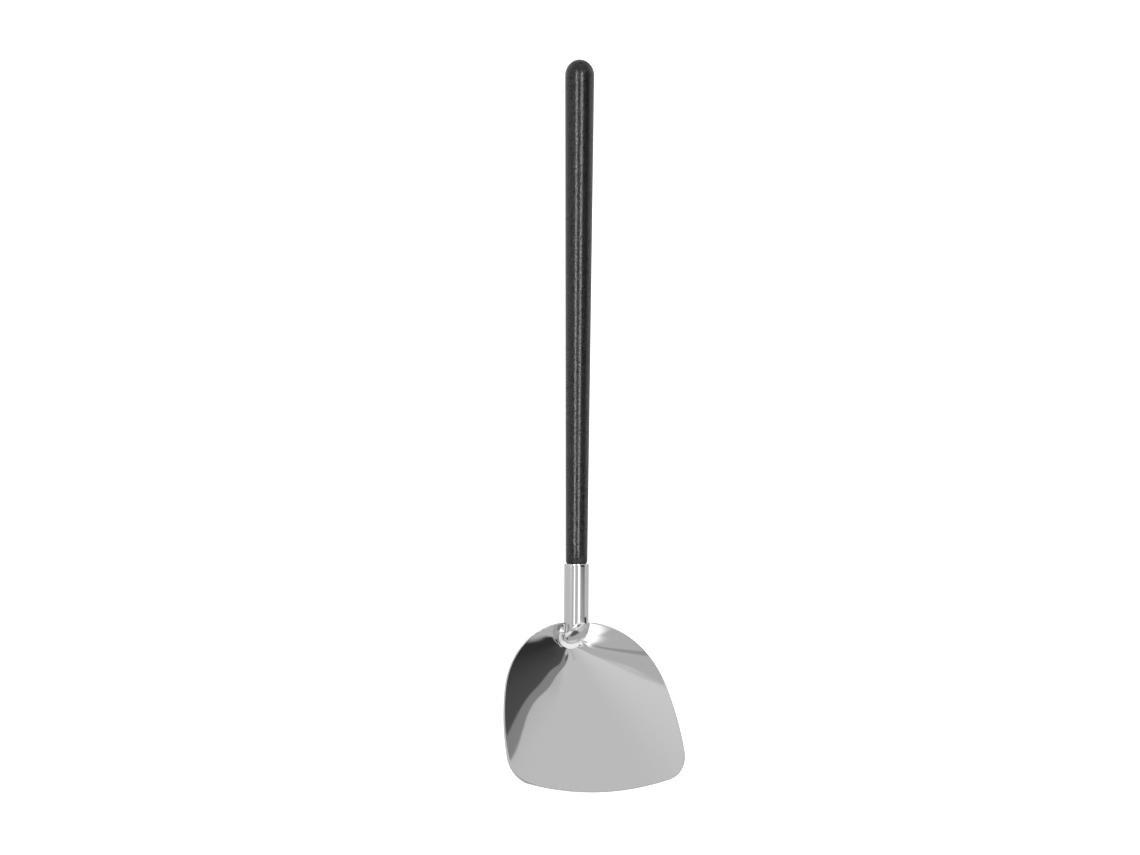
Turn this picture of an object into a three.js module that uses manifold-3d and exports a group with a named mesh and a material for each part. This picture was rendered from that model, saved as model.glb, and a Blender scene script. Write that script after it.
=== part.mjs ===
// A long-handled cooking turner: a shallow pressed steel blade, a tubular neck with a closed sloping
// nose that is welded into the blade's heel, and a tapered black handle whose tenon is pinned in the
// neck. Millimetres. +Y runs along the handle to its round end, +Z is up, and the blade's hollow side
// faces up. The turner lies as it rests on a table: the heel touches z = 0, the handle's axis is
// level, and the blade rises towards its front edge. The origin is under the middle of the whole
// object. In the sizes, a reach is measured along Y from the heel, where the blade's floor bends away
// from the neck.
import * as THREE from "three";
import { mergeVertices } from "three/addons/utils/BufferGeometryUtils.js";
import Module from "manifold-3d";

// Clearances
const SEAT_GAP = 0.3; // between a piece and what it is seated on
const CUT_OVERRUN = 1; // how far a cutting body reaches past what it cuts

// Blade, as seen from above
const SHEET = 1; // thickness
const BLADE_HALF_WIDTH = 56;
const FRONT_REACH = 79;
const REAR_REACH = 12.2;
const FRONT_RADIUS = 175;
const CORNER_RADIUS = 15.6;
const SIDE_RADIUS = 127;
const SHOULDER_RADIUS = 47.8;

// Blade, as seen from the side
const BLADE_ANGLE = THREE.MathUtils.degToRad(23.6); // between the floor and the handle's axis
const BEND_HALF_LENGTH = 2.5; // half of the bend at the heel, on the centre line
const BEND_SPREAD_SHARE = 0.5; // how much longer that half gets, for each unit away from the centre line
const FLOOR_HALF_FAN = THREE.MathUtils.degToRad(10); // the floor is flat inside this, from straight ahead
const RIM_SLOPE = 0.3; // how steeply the shoulders climb away from the heel
const FAN_RATE = 1.118; // how fast that climb grows with the angle
const HEEL_ROUNDING = 1.5; // rounds the point where floor and shoulders meet
const SEAT_WALL_ANGLE = THREE.MathUtils.degToRad(58); // the neck's seat is round up to here, then straight
const SEAT_END_SLOPE = 2; // how steeply the seat runs out ahead of the heel
const SEAT_ROUNDING = 3; // rounds the line where the seat meets the shoulders
const LIP_HALF_WIDTH = 8.6; // the seat's lip, a U that is round ahead of its widest place
const LIP_WIDEST_REACH = 6;
const TAIL_HALF_WIDTH = 10; // how far the rear edge runs across before it counts as the shoulder

// Neck
const NECK_RADIUS = 6.8;
const BORE_RADIUS = 5.8;
const MOUTH_REACH = 44.5;
const NOSE_TIP_REACH = 0.3;
const NOSE_ANGLE = THREE.MathUtils.degToRad(50); // slope of the nose's face
const NOSE_WALL = 1;
const NOSE_ROUNDING = 1.8; // rounds the line where the sloping face meets the tube
const NOSE_INNER_ROUNDING = 0.8;
const NOSE_TIP_ROUNDING_SHARE = 0.12; // share of that rounding that is left at the nose's tip
const MOUTH_CHAMFER = 0.3;

// Weld fillet, a U round the nose
const WELD_TIP_REACH = -1.6;
const WELD_WIDEST_REACH = 8.4;
const WELD_END_INSET = 0.6; // from the blade's rear edge to the ends of the U
const WELD_HALF_WIDTH = 9.6;
const WELD_END_HALF_WIDTH = 8.4;
const WELD_SIDE_CLIMB = 1; // how far it climbs past the middle of the tube
const WELD_NOSE_CLIMB = 0.3; // how far it stands above the edge of the nose
const WELD_TOE = 0.15; // thickness left at its outer edge
const WELD_HOLLOW = 1.8; // how hollow its face is: 1 is straight

// Handle
const SHOULDER_GAP = 0.7; // open line between the neck's mouth and the grip's shoulder
const GRIP_LENGTH = 275.7; // shoulder to round end
const GRIP_END_RADIUS = 8;
const GRIP_DOME_LENGTH = 8.8;
const GRIP_SHOULDER_RADIUS = 5.95;
const GRIP_SHOULDER_ROUNDING = 0.3;
const TENON_LENGTH = 26;
const TENON_CHAMFER = 0.8;
const CORE_RADIUS = 3;
const CORE_LENGTH = 230;
const CORE_INSET = 1.5; // how far the core's lower end stays inside the tenon
const CORE_CHAMFER = 0.5;

// Fixing pin
const PIN_RADIUS = 1.2;
const PIN_REACH = 31;
const PIN_PAST_CORE = 0.8;
const PIN_CHAMFER = 0.25;

// Facets
const FRONT_STEPS = 8;
const CORNER_STEPS = 6;
const SIDE_STEPS = 4;
const SHOULDER_STEPS = 18;
const SEAT_LANE_SHARES = [0, 0.2, 0.4, 0.6, 0.77, 0.9, 1]; // from the seat's bottom line to its lip
const FIELD_ROWS = 9; // from the seat's lip to the blade's edge
const ROUND_SIDES = 40;
const NOSE_ROUND_STEPS = 4;
const WELD_STEPS = 16;
const WELD_LANES = 4;
const DOME_STEPS = 8;
const PIN_SIDES = 16;
const SPREAD = 1.6; // above 1, steps crowd towards the place where the shape is finest

// Places that several pieces share
const AXIS_HEIGHT = SHEET + SEAT_GAP + NECK_RADIUS;
const SEAT_RADIUS = NECK_RADIUS + SEAT_GAP;
const SHOULDER_REACH = MOUTH_REACH + SHOULDER_GAP;
const HANDLE_END_REACH = SHOULDER_REACH + GRIP_LENGTH;
const TENON_RADIUS = BORE_RADIUS - SEAT_GAP;
const TENON_END_REACH = SHOULDER_REACH - TENON_LENGTH;
const CORE_START_REACH = TENON_END_REACH + CORE_INSET;
const CORE_BORE_RADIUS = CORE_RADIUS + SEAT_GAP;
const WELD_END_REACH = REAR_REACH - WELD_END_INSET;
const PIN_TOP = AXIS_HEIGHT + CORE_RADIUS + PIN_PAST_CORE;
const FRONT_EDGE_REACH = FRONT_REACH + SHEET * Math.sin(BLADE_ANGLE);
const MIDDLE_REACH = (HANDLE_END_REACH - FRONT_EDGE_REACH) / 2;

const { PI, abs, asin, atan2, cos, max, min, sin, sqrt, tan } = Math;
const wasm = await Module();
wasm.setup();

// The first whole numbers, from zero.
function count(n) {
  return Array.from({ length: n }, (_, i) => i);
}

// A closed surface from rows of points, each of which closes on itself, between a first and a last
// point.
function closedSurface(first, rows, last) {
  const across = rows[0].length;
  const lastIndex = 1 + rows.length * across;
  const index = [];
  for (const j of count(across)) {
    const next = (j + 1) % across;
    index.push(0, 1 + next, 1 + j);
    for (const i of count(rows.length - 1)) {
      const low = 1 + i * across;
      const high = low + across;
      index.push(low + j, low + next, high + next);
      index.push(low + j, high + next, high + j);
    }
    index.push(lastIndex, lastIndex - across + j, lastIndex - across + next);
  }
  const geometry = new THREE.BufferGeometry().setFromPoints([first, ...rows.flat(), last]);
  geometry.setIndex(index);
  geometry.computeVertexNormals();
  return geometry;
}

// The point midway among others.
function middleOf(points) {
  const sum = points.reduce((total, point) => total.add(point), new THREE.Vector3());
  return sum.divideScalar(points.length);
}

// A solid for cutting and joining.
function solidOf(geometry) {
  const bare = geometry.clone();
  bare.deleteAttribute("normal");
  bare.deleteAttribute("uv");
  const merged = mergeVertices(bare);
  const vertProperties = new Float32Array(merged.attributes.position.array);
  const triVerts = new Uint32Array(merged.index.array);
  return new wasm.Manifold(new wasm.Mesh({ numProp: 3, vertProperties, triVerts }));
}

function geometryOf(solid) {
  const mesh = solid.getMesh();
  const geometry = new THREE.BufferGeometry();
  geometry.setAttribute("position", new THREE.BufferAttribute(mesh.vertProperties, 3));
  geometry.setIndex(new THREE.BufferAttribute(mesh.triVerts, 1));
  geometry.computeVertexNormals();
  return geometry;
}

// The lower of two heights, with the crossing rounded over the given height.
function softLower(a, b, rounding) {
  const overlap = max(rounding - abs(a - b), 0);
  return min(a, b) - overlap ** 2 / (4 * rounding);
}

// Zero, then a bend that reaches half its length to each side of zero, then the distance itself.
function softRamp(distance, half) {
  if (distance <= -half) return 0;
  if (distance >= half) return distance;
  const t = (distance + half) / (2 * half);
  return 2 * half * (t ** 3 - t ** 4 / 2);
}

// Height of the neck's half-round seat above the lowest line of the blade.
function seatHeight(x, y) {
  const roundHalf = SEAT_RADIUS * sin(SEAT_WALL_ANGLE);
  const inside = min(abs(x), roundHalf);
  const round = SEAT_RADIUS - sqrt(SEAT_RADIUS ** 2 - inside ** 2);
  return round + (abs(x) - inside) * tan(SEAT_WALL_ANGLE) + SEAT_END_SLOPE * max(-y, 0);
}

// Height of the blade's upper face. Ahead of the heel a flat floor climbs at the blade's angle. To the
// sides and behind, a cone about the heel climbs above it, and the neck's seat is pressed down into
// that.
function bladeTop(x, y) {
  const floor = tan(BLADE_ANGLE) * softRamp(-y, BEND_HALF_LENGTH + BEND_SPREAD_SHARE * abs(x));
  const away = sqrt(x * x + y * y + HEEL_ROUNDING ** 2) - HEEL_ROUNDING;
  const fan = FAN_RATE * (atan2(abs(x), -y) - FLOOR_HALF_FAN);
  const climb = RIM_SLOPE * away * (1 - cos(min(max(fan, 0), PI)));
  return SHEET + max(softLower(floor + climb, seatHeight(x, y), SEAT_ROUNDING), 0);
}

function bladeTopPoint(x, y) {
  return new THREE.Vector3(x, y, bladeTop(x, y));
}

// The point of the blade's lower face that lies one sheet thickness below, square to the surface.
function bladeUnderPoint(x, y) {
  const step = SHEET / 10;
  const slopeX = (bladeTop(x + step, y) - bladeTop(x - step, y)) / (2 * step);
  const slopeY = (bladeTop(x, y + step) - bladeTop(x, y - step)) / (2 * step);
  const normal = new THREE.Vector3(-slopeX, -slopeY, 1).normalize();
  return bladeTopPoint(x, y).addScaledVector(normal, -SHEET);
}

// An arc in plan. Its angles start from straight ahead.
function planArc(x, y, radius, from, to, steps) {
  return { x, y, radius, from, to, steps };
}

function arcPoint(arc, angle) {
  return new THREE.Vector2(arc.x + arc.radius * sin(angle), arc.y - arc.radius * cos(angle));
}

// An arc's points without its last one.
function arcPoints(arc) {
  return count(arc.steps).map((i) => arcPoint(arc, arc.from + ((arc.to - arc.from) * i) / arc.steps));
}

// The arcs of the blade's outline in plan, each touching the next: front, corner, side and shoulder.
function outlineArcs() {
  const frontCentreY = FRONT_RADIUS - FRONT_REACH;
  const cornerCentreX = BLADE_HALF_WIDTH - CORNER_RADIUS;
  const cornerAhead = sqrt((FRONT_RADIUS - CORNER_RADIUS) ** 2 - cornerCentreX ** 2);
  const cornerCentreY = frontCentreY - cornerAhead;
  const frontTurn = atan2(cornerCentreX, cornerAhead);
  const squareTurn = PI / 2;
  const sideCentreX = BLADE_HALF_WIDTH - SIDE_RADIUS;
  const shoulderCentreY = REAR_REACH - SHOULDER_RADIUS;
  const shoulderAway = SIDE_RADIUS - SHOULDER_RADIUS;
  const sideTurn = squareTurn + asin((shoulderCentreY - cornerCentreY) / shoulderAway);
  const shoulderCentreX = sideCentreX + shoulderAway * sin(sideTurn);
  const tailTurn = PI - asin((TAIL_HALF_WIDTH - shoulderCentreX) / SHOULDER_RADIUS);
  return [
    planArc(0, frontCentreY, FRONT_RADIUS, 0, frontTurn, FRONT_STEPS),
    planArc(cornerCentreX, cornerCentreY, CORNER_RADIUS, frontTurn, squareTurn, CORNER_STEPS),
    planArc(sideCentreX, cornerCentreY, SIDE_RADIUS, squareTurn, sideTurn, SIDE_STEPS),
    planArc(shoulderCentreX, shoulderCentreY, SHOULDER_RADIUS, sideTurn, tailTurn, SHOULDER_STEPS),
  ];
}

// Half of the blade's outline, from the middle of the front edge to where the rear edge begins.
function halfOutline() {
  const arcs = outlineArcs();
  const last = arcs.at(-1);
  return [...arcs.flatMap(arcPoints), arcPoint(last, last.to)];
}

// The blade's rear edge: straight across the middle, then along the shoulder arcs.
function rearReach(x) {
  const shoulder = outlineArcs().at(-1);
  const past = max(x - shoulder.x, 0);
  return shoulder.y + sqrt(shoulder.radius ** 2 - past ** 2);
}

// The seat's lip, where a line from the heel to a point on the outline crosses it.
function lipPoint(edgePoint) {
  const away = edgePoint.length();
  const across = edgePoint.x / away;
  const along = edgePoint.y / away;
  const middle = LIP_WIDEST_REACH * along;
  const reach = middle + sqrt(LIP_HALF_WIDTH ** 2 - (LIP_WIDEST_REACH * across) ** 2);
  const straight = reach * along > LIP_WIDEST_REACH;
  return new THREE.Vector2(across, along).multiplyScalar(straight ? LIP_HALF_WIDTH / across : reach);
}

// One line of plan points on the blade, from the seat's bottom line over its lip to the outline.
function bladeLine(edgePoint) {
  return bladeLineThrough(edgePoint, lipPoint(edgePoint));
}

function bladeLineThrough(edgePoint, lip) {
  const bottom = new THREE.Vector2(0, max(lip.y, 0));
  const seat = SEAT_LANE_SHARES.map((share) => bottom.clone().lerp(lip, share));
  const field = count(FIELD_ROWS).map((i) => lip.clone().lerp(edgePoint, ((i + 1) / FIELD_ROWS) ** SPREAD));
  return [...seat, ...field];
}

// The last line follows the rear edge.
function rearLine(edgePoint) {
  const lip = new THREE.Vector2(LIP_HALF_WIDTH, REAR_REACH);
  return bladeLineThrough(edgePoint, lip).map((p) => new THREE.Vector2(p.x, rearReach(p.x)));
}

// A sheet closed round its edges: two faces with the same lines of points, met along their outer ends
// and along the first and last lines. The inner ends of the lines meet each other in the middle of the
// sheet.
function closedSheet(top, under) {
  const rows = top[0].length;
  const index = [];
  const quad = (a, b, c, d) => index.push(a, b, c, a, c, d);
  const upper = (line, row) => line * rows + row;
  const lower = (line, row) => (top.length + line) * rows + row;
  for (const line of count(top.length - 1)) {
    for (const row of count(rows - 1)) {
      quad(upper(line, row), upper(line, row + 1), upper(line + 1, row + 1), upper(line + 1, row));
      quad(lower(line, row), lower(line + 1, row), lower(line + 1, row + 1), lower(line, row + 1));
    }
    quad(upper(line, rows - 1), lower(line, rows - 1), lower(line + 1, rows - 1), upper(line + 1, rows - 1));
  }
  const last = top.length - 1;
  for (const row of count(rows - 1)) {
    quad(upper(0, row), lower(0, row), lower(0, row + 1), upper(0, row + 1));
    quad(upper(last, row), upper(last, row + 1), lower(last, row + 1), lower(last, row));
  }
  const geometry = new THREE.BufferGeometry().setFromPoints([...top.flat(), ...under.flat()]);
  geometry.setIndex(index);
  return geometryOf(solidOf(geometry));
}

// The pressed blade. Its lines run from one side of the rear edge round the front to the other side.
function bladeGeometry() {
  const outline = halfOutline();
  const half = [...outline.slice(0, -1).map(bladeLine), rearLine(outline.at(-1))];
  const mirrored = half.slice(1).map((line) => line.map((p) => new THREE.Vector2(-p.x, p.y)));
  const lines = [...mirrored.reverse(), ...half];
  const top = lines.map((line) => line.map((p) => bladeTopPoint(p.x, p.y)));
  const under = lines.map((line) => line.map((p) => bladeUnderPoint(p.x, p.y)));
  return closedSheet(top, under);
}

// Height of the nose's sloping plane.
function noseHeight(y) {
  return AXIS_HEIGHT - NECK_RADIUS + tan(NOSE_ANGLE) * (y - NOSE_TIP_REACH);
}

// A ring of the tube.
function tubeRing(radius, y) {
  return count(ROUND_SIDES).map((i) => {
    const angle = (2 * PI * i) / ROUND_SIDES;
    return new THREE.Vector3(radius * sin(angle), y, AXIS_HEIGHT + radius * cos(angle));
  });
}

// Rings of a tube's sloping end: they start in its flat face and turn round the edge onto the tube.
// The face's middle lies on the handle's axis, and the edge is sharper towards the tip.
function slopingEnd(radius, middleReach, topRounding) {
  return count(NOSE_ROUND_STEPS + 1).map((step) => {
    const turn = ((PI / 2) * step) / NOSE_ROUND_STEPS;
    return count(ROUND_SIDES).map((i) => {
      const angle = (2 * PI * i) / ROUND_SIDES;
      const fullShare = (1 + cos(angle)) / 2;
      const rounding = topRounding * (NOSE_TIP_ROUNDING_SHARE + (1 - NOSE_TIP_ROUNDING_SHARE) * fullShare);
      const away = radius - rounding * (1 - sin(turn));
      const reach = middleReach + rounding * (1 - cos(turn)) + (away * cos(angle)) / tan(NOSE_ANGLE);
      return new THREE.Vector3(away * sin(angle), reach, AXIS_HEIGHT + away * cos(angle));
    });
  });
}

// The neck: its outside from the nose to the mouth, then back down the socket to the inside of the nose.
function neckGeometry() {
  const middle = NOSE_TIP_REACH + NECK_RADIUS / tan(NOSE_ANGLE);
  const innerMiddle = middle + NOSE_WALL / sin(NOSE_ANGLE);
  const rows = [
    ...slopingEnd(NECK_RADIUS, middle, NOSE_ROUNDING),
    tubeRing(NECK_RADIUS, MOUTH_REACH - MOUTH_CHAMFER),
    tubeRing(NECK_RADIUS - MOUTH_CHAMFER, MOUTH_REACH),
    tubeRing(BORE_RADIUS + MOUTH_CHAMFER, MOUTH_REACH),
    tubeRing(BORE_RADIUS, MOUTH_REACH - MOUTH_CHAMFER),
    ...slopingEnd(BORE_RADIUS, innerMiddle, NOSE_INNER_ROUNDING).reverse(),
  ];
  const face = new THREE.Vector3(0, middle, AXIS_HEIGHT);
  const innerFace = new THREE.Vector3(0, innerMiddle, AXIS_HEIGHT);
  return geometryOf(solidOf(closedSurface(face, rows, innerFace)).subtract(pinHole()));
}

// The weld's inner edge in plan, one gap outside the nose, at a share of the way from the tip of the U
// to its end.
function weldInner(share) {
  const front = NOSE_TIP_REACH - SEAT_GAP;
  const y = front + (WELD_END_REACH - front) * share ** SPREAD;
  const drop = min(max(AXIS_HEIGHT - noseHeight(y + SEAT_GAP), 0), NECK_RADIUS);
  const noseHalfWidth = sqrt(NECK_RADIUS ** 2 - drop ** 2);
  return new THREE.Vector2((noseHalfWidth * SEAT_RADIUS) / NECK_RADIUS, y);
}

// The weld's outer edge in plan: a quarter of an ellipse, then a taper back to the ends of the U.
function weldOuter(share) {
  const turnShare = (WELD_WIDEST_REACH - WELD_TIP_REACH) / (WELD_END_REACH - WELD_TIP_REACH);
  if (share <= turnShare) {
    const angle = (PI / 2) * (share / turnShare);
    const length = WELD_WIDEST_REACH - WELD_TIP_REACH;
    return new THREE.Vector2(WELD_HALF_WIDTH * sin(angle), WELD_WIDEST_REACH - length * cos(angle));
  }
  const t = (share - turnShare) / (1 - turnShare);
  const x = WELD_HALF_WIDTH + (WELD_END_HALF_WIDTH - WELD_HALF_WIDTH) * t ** 2;
  return new THREE.Vector2(x, WELD_WIDEST_REACH + (WELD_END_REACH - WELD_WIDEST_REACH) * t);
}

// A section of the weld: its hollow face from the nose out to the blade, then back along the blade's
// upper face.
function weldSection(signedShare) {
  const share = abs(signedShare);
  const side = signedShare < 0 ? -1 : 1;
  const inner = weldInner(share);
  const outer = weldOuter(share);
  const edgeHeight = noseHeight(inner.y + SEAT_GAP) + WELD_NOSE_CLIMB;
  const innerHeight = min(AXIS_HEIGHT + WELD_SIDE_CLIMB, edgeHeight);
  const outerHeight = bladeTop(outer.x, outer.y) + SEAT_GAP + WELD_TOE;
  const lanes = count(WELD_LANES + 1).map((i) => i / WELD_LANES);
  const face = lanes.map((lane) => {
    const place = inner.clone().lerp(outer, lane);
    const least = bladeTop(place.x, place.y) + SEAT_GAP + WELD_TOE;
    const height = outerHeight + (innerHeight - outerHeight) * (1 - lane) ** WELD_HOLLOW;
    return new THREE.Vector3(side * place.x, place.y, max(height, least));
  });
  const foot = lanes.map((lane) => {
    const place = inner.clone().lerp(outer, lane);
    return new THREE.Vector3(side * place.x, place.y, bladeTop(place.x, place.y) + SEAT_GAP);
  });
  return [...face, ...foot.reverse()];
}

function weldGeometry() {
  const rows = count(2 * WELD_STEPS + 1).map((i) => weldSection(i / WELD_STEPS - 1));
  return closedSurface(middleOf(rows[0]), rows, middleOf(rows.at(-1)));
}

// A body turned about the handle's axis, from a profile of radius and reach.
function turned(profile) {
  const points = profile.map(([radius, reach]) => new THREE.Vector2(radius, reach));
  return new THREE.LatheGeometry(points, ROUND_SIDES).translate(0, 0, AXIS_HEIGHT);
}

// Points of a quarter of an ellipse in a profile, from its widest place towards the axis.
function quarterRound(centreRadius, centreReach, across, along, steps) {
  return count(steps).map((i) => {
    const angle = ((PI / 2) * i) / steps;
    return [centreRadius + across * cos(angle), centreReach + along * sin(angle)];
  });
}

// The grip: a straight taper from its shoulder to a round end, a tenon for the socket and a bore for
// the core.
function gripGeometry() {
  const coreBoreEnd = CORE_START_REACH + CORE_LENGTH + SEAT_GAP;
  const solid = turned([
    [0, coreBoreEnd],
    [CORE_BORE_RADIUS, coreBoreEnd],
    [CORE_BORE_RADIUS, TENON_END_REACH],
    [TENON_RADIUS - TENON_CHAMFER, TENON_END_REACH],
    [TENON_RADIUS, TENON_END_REACH + TENON_CHAMFER],
    [TENON_RADIUS, SHOULDER_REACH],
    [GRIP_SHOULDER_RADIUS - GRIP_SHOULDER_ROUNDING, SHOULDER_REACH],
    [GRIP_SHOULDER_RADIUS, SHOULDER_REACH + GRIP_SHOULDER_ROUNDING],
    ...quarterRound(0, HANDLE_END_REACH - GRIP_DOME_LENGTH, GRIP_END_RADIUS, GRIP_DOME_LENGTH, DOME_STEPS),
    [0, HANDLE_END_REACH],
  ]);
  return geometryOf(solidOf(solid).subtract(pinHole()));
}

// The steel core inside the grip.
function coreGeometry() {
  const end = CORE_START_REACH + CORE_LENGTH;
  const solid = turned([
    [0, CORE_START_REACH],
    [CORE_RADIUS - CORE_CHAMFER, CORE_START_REACH],
    [CORE_RADIUS, CORE_START_REACH + CORE_CHAMFER],
    [CORE_RADIUS, end - CORE_CHAMFER],
    [CORE_RADIUS - CORE_CHAMFER, end],
    [0, end],
  ]);
  return geometryOf(solidOf(solid).subtract(pinHole()));
}

// An upright body turned about the pin's axis, from a profile of radius and height.
function uprightAtPin(profile) {
  const points = profile.map(([radius, height]) => new THREE.Vector2(radius, height));
  return new THREE.LatheGeometry(points, PIN_SIDES).rotateX(PI / 2).translate(0, PIN_REACH, 0);
}

// The pin, flush with the underside of the neck.
function pinGeometry() {
  const foot = AXIS_HEIGHT - NECK_RADIUS;
  return uprightAtPin([
    [0, foot],
    [PIN_RADIUS, foot],
    [PIN_RADIUS, PIN_TOP - PIN_CHAMFER],
    [PIN_RADIUS - PIN_CHAMFER, PIN_TOP],
    [0, PIN_TOP],
  ]);
}

// The hole that the pin sits in, through the neck's lower wall and the core, and blind in the tenon.
function pinHole() {
  const foot = AXIS_HEIGHT - NECK_RADIUS - CUT_OVERRUN;
  const hole = uprightAtPin([
    [0, foot],
    [PIN_RADIUS + SEAT_GAP, foot],
    [PIN_RADIUS + SEAT_GAP, PIN_TOP + SEAT_GAP],
    [0, PIN_TOP + SEAT_GAP],
  ]);
  return solidOf(hole);
}

// One named piece.
function piece(name, geometry, look) {
  const mesh = new THREE.Mesh(geometry, new THREE.MeshStandardMaterial(look));
  mesh.name = name;
  return mesh;
}

const turner = new THREE.Group();
turner.name = "turner";
turner.position.y = -MIDDLE_REACH;
turner.add(
  piece("blade", bladeGeometry(), { color: 0xb4b6b8, roughness: 0.22, metalness: 1 }),
  piece("neck_socket", neckGeometry(), { color: 0xbfc1c2, roughness: 0.3, metalness: 1 }),
  piece("neck_weld", weldGeometry(), { color: 0xc8cacb, roughness: 0.18, metalness: 1 }),
  piece("handle_grip", gripGeometry(), { color: 0x2b2c2e, roughness: 0.55, metalness: 0 }),
  piece("handle_core", coreGeometry(), { color: 0x8f9193, roughness: 0.4, metalness: 1 }),
  piece("fixing_pin", pinGeometry(), { color: 0xa7a9ab, roughness: 0.3, metalness: 1 }),
);

export default turner;
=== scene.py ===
"""Dresses the turner: a polished pressed blade, its neck tube, the weld fillet and the black grip, with the
camera, the table and the studio light. The turner's own sizes are in millimetres, and all else is in metres,
in the frame of the solids: +Y runs along the handle to its round end, +Z is up, and the plane X = 0 halves
the turner, apart from the swells in its sheet."""

import math

import bpy
import numpy as np
from mathutils import Matrix, Vector


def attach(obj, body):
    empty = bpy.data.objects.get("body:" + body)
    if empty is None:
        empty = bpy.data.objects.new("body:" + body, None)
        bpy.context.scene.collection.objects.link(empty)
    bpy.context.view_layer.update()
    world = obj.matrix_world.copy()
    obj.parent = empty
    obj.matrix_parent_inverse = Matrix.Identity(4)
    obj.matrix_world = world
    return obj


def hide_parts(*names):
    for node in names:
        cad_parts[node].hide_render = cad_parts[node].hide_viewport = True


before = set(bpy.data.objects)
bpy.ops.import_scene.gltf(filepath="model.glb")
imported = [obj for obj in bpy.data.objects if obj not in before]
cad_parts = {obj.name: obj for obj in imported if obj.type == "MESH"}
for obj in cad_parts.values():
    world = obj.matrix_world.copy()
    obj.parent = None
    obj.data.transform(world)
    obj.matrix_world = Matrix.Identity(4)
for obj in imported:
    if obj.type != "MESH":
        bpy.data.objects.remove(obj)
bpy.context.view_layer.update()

MM = 0.001

# Sizes of the blade. A reach is a distance from the heel, where the blade bends up ahead of the neck
SHEET = 1.0
HALF_WIDTH = 56.0
FRONT_REACH = 79.0
REAR_REACH = 12.2
FRONT_RADIUS = 175.0
CORNER_RADIUS = 15.6
SIDE_RADIUS = 127.0
SHOULDER_RADIUS = 47.8
BLADE_ANGLE = math.radians(23.6)
BEND_HALF_LENGTH = 2.5
BEND_SPREAD = 0.5
FLOOR_HALF_FAN = math.radians(10)
RIM_SLOPE = 0.3
FAN_RATE = 1.118
HEEL_ROUNDING = 1.5
SEAT_GAP = 0.3
SEAT_WALL_ANGLE = math.radians(58)
SEAT_END_SLOPE = 2.0
SEAT_ROUNDING = 3.0
EDGE_WIDTH = 0.34
EDGE_FULLNESS = 0.7

# Sizes of the neck
NECK_RADIUS = 6.8
BORE_RADIUS = 5.8
MOUTH_REACH = 44.5
LIP_LENGTH = 0.6
LIP_ROUNDING = 0.35
LIP_FULLNESS = 0.8
TUBE_START_REACH = 14.5
NOSE_TIP_REACH = 0.3
NOSE_ANGLE = math.radians(50)
NOSE_WALL = 1.0
NOSE_DOME = 3.2
NOSE_SETBACK = 0.84
BORE_END_REACH = 14.0
BORE_END_ROUNDING = 0.8
BORE_END_TIP_SHARE = 0.12

# Sizes of the weld. The arc share is the part of its length that runs round the nose
WELD_WIDTH = 2.4
WELD_FRONT_SLOPE = 0.13
WELD_SIDE_SLOPE = 0.14
WELD_END_GAP = 0.6
WELD_ARC_REACH = 8.0
WELD_ARC_SHARE = 0.72
WELD_INNER_SETBACK = 0.5
WELD_INNER_SHARE = 0.88
WELD_INNER_CROWDING = 1.8
WELD_TOE_SHARE = 0.12
WELD_TOE_SINK = 0.03
WELD_TOE_SHARPNESS = 8
WELD_FOOT_DEPTH = 0.3

# Sizes of the grip
TENON_RADIUS = 5.5
TENON_REACH = 19.2
TENON_CHAMFER = 0.8
TENON_ROOT_LENGTH = 0.2
TENON_ROOT_FLARE = 0.02
SHOULDER_REACH = 45.2
SHOULDER_ROUNDING = 0.3
GRIP_SHOULDER_RADIUS = 5.95
GRIP_LENGTH = 275.7
GRIP_END_RADIUS = 8.0
GRIP_DOME_LENGTH = 8.8

AXIS_HEIGHT = SHEET + SEAT_GAP + NECK_RADIUS
SEAT_RADIUS = NECK_RADIUS + SEAT_GAP
HANDLE_END_REACH = SHOULDER_REACH + GRIP_LENGTH
MIDDLE_REACH = (HANDLE_END_REACH - FRONT_REACH - SHEET * math.sin(BLADE_ANGLE)) / 2

# Steps of the meshes
FRONT_STEPS = 44
CORNER_STEPS = 30
SIDE_STEPS = 16
SHOULDER_STEPS = 90
REAR_STEPS = 20
REAR_CROWDING = 1.5
BLADE_RINGS = 92
BLADE_RING_CROWDING = 1.45
RIM_STEPS = 10
ROUND_STEPS = 160
NOSE_STEPS = 48
TUBE_STEPS = 23
LIP_STEPS = 12
BORE_STEPS = 7
BORE_END_STEPS = 3
WELD_HALF_STEPS = 120
WELD_LANES = 30
GRIP_SHOULDER_STEPS = 6
TAPER_STEPS = 59
DOME_STEPS = 32


# Meshes from grids

def piece_from_grid(name, points, first_tip, last_tip):
    """An object at the origin, with a mesh over a grid of points of shape (rows, columns, 3). Each row
    closes on itself, and fans to the two tips close the first and the last row. The points are in
    millimetres from the heel, and the mesh is in metres in the frame of the solids."""
    rows, columns = points.shape[:2]
    corner = np.arange(columns)
    beside = (corner + 1) % columns
    start = np.arange(rows - 1)[:, None] * columns
    quads = np.stack(
        [start + corner, start + beside, start + columns + beside, start + columns + corner], -1
    ).reshape(-1, 4)
    tip = np.full(columns, rows * columns)
    last = (rows - 1) * columns
    first_fan = np.stack([tip, beside, corner], -1)
    last_fan = np.stack([tip + 1, last + corner, last + beside], -1)
    verts = (np.vstack([points.reshape(-1, 3), first_tip, last_tip]) - [0, MIDDLE_REACH, 0]) * MM
    mesh = bpy.data.meshes.new(name)
    mesh.from_pydata(verts.tolist(), [], quads.tolist() + first_fan.tolist() + last_fan.tolist())
    mesh.polygons.foreach_set("use_smooth", np.full(len(mesh.polygons), True))
    mesh.update()
    piece = bpy.data.objects.new(name, mesh)
    bpy.context.scene.collection.objects.link(piece)
    return piece


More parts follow.
